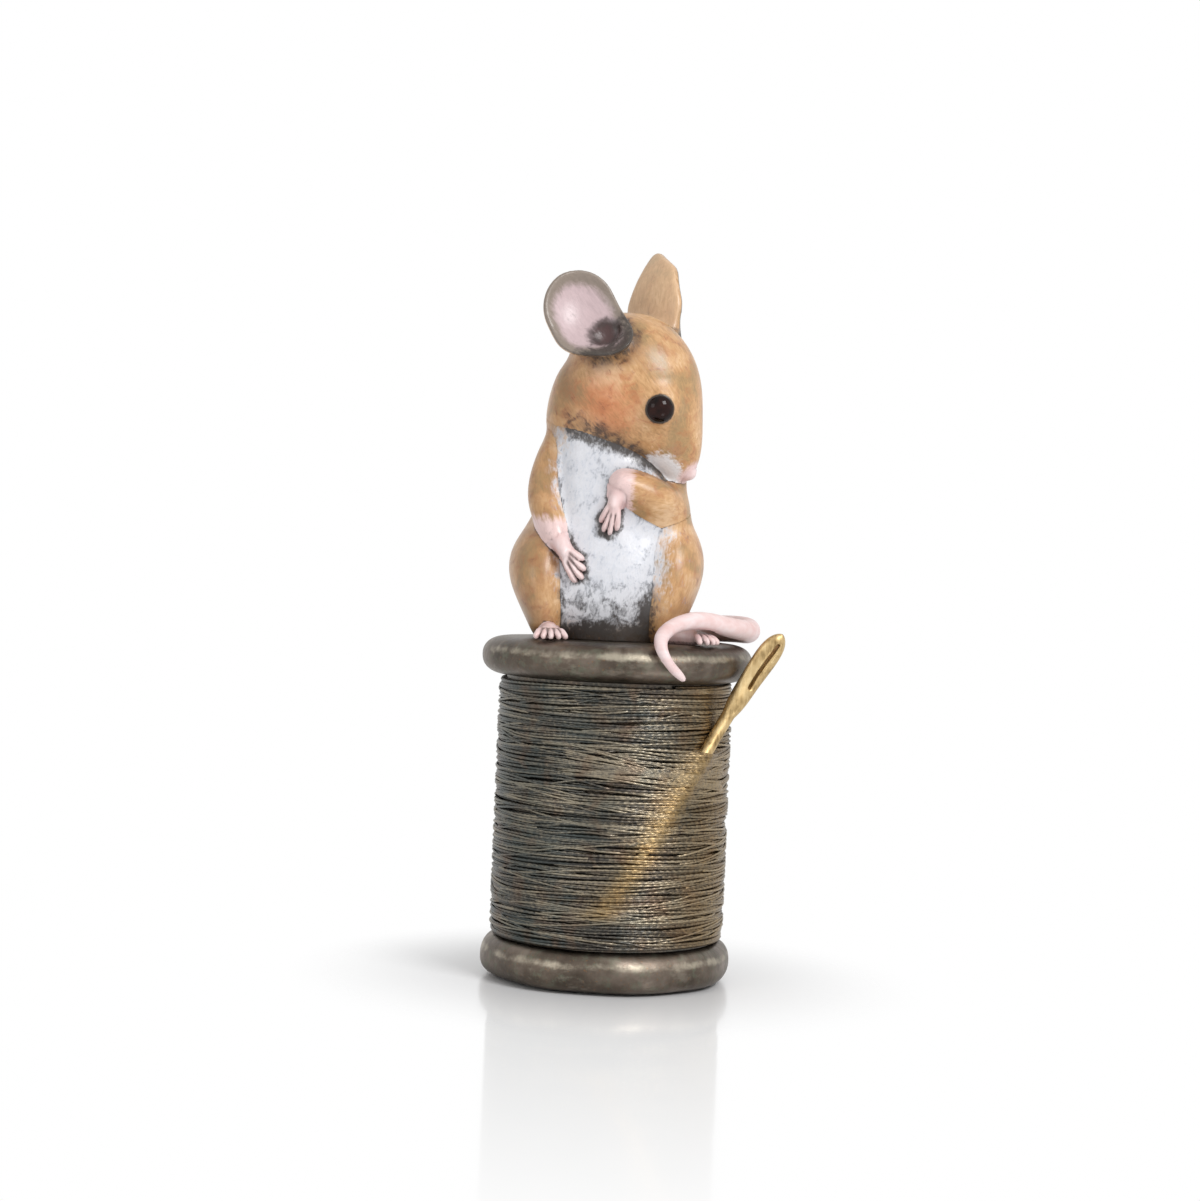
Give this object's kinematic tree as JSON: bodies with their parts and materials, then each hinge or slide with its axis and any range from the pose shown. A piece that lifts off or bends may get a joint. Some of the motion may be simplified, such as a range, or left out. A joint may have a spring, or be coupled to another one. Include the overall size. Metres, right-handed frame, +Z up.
{
  "type": "mouse figurine on a thread reel",
  "caption": "Painted bronze mouse sitting upright on a dark bronze thread reel, head bowed to one side, with a needle under the turns.",
  "frame": {"origin": "centre of the felt pad's underside, on the reel's axis", "axes": "+Z up the reel's axis; the mouse faces -Y, with its right side at -X"},
  "size_m": [0.038, 0.0356, 0.0936],
  "materials": {
    "patinated_bronze": "dark patina, satin",
    "thread_bronze": "dark patina, satin",
    "golden_bronze": "satin",
    "tan_fur_paint": "satin",
    "pink_skin_paint": "satin",
    "black_eye_glass": "gloss",
    "steel": "satin",
    "felt": "matte"
  },
  "bodies": {
    "root": {"bottom_flange": "patinated_bronze", "top_flange": "patinated_bronze", "reel_barrel": "patinated_bronze", "thread_core": "thread_bronze", "thread_turns": "thread_bronze", "needle": "golden_bronze", "torso": "tan_fur_paint", "head": "tan_fur_paint", "right_ear": "tan_fur_paint", "left_ear": "tan_fur_paint", "right_arm": "tan_fur_paint", "left_arm": "tan_fur_paint", "right_hind_leg": "tan_fur_paint", "left_hind_leg": "tan_fur_paint", "nose": "pink_skin_paint", "right_forepaw": "pink_skin_paint", "left_forepaw": "pink_skin_paint", "right_hind_foot": "pink_skin_paint", "left_hind_foot": "pink_skin_paint", "tail": "pink_skin_paint", "right_eye": "black_eye_glass", "left_eye": "black_eye_glass", "fixing_stud": "steel", "washer": "steel", "nut": "steel", "base_pad": "felt"}
  },
  "joints": []
}
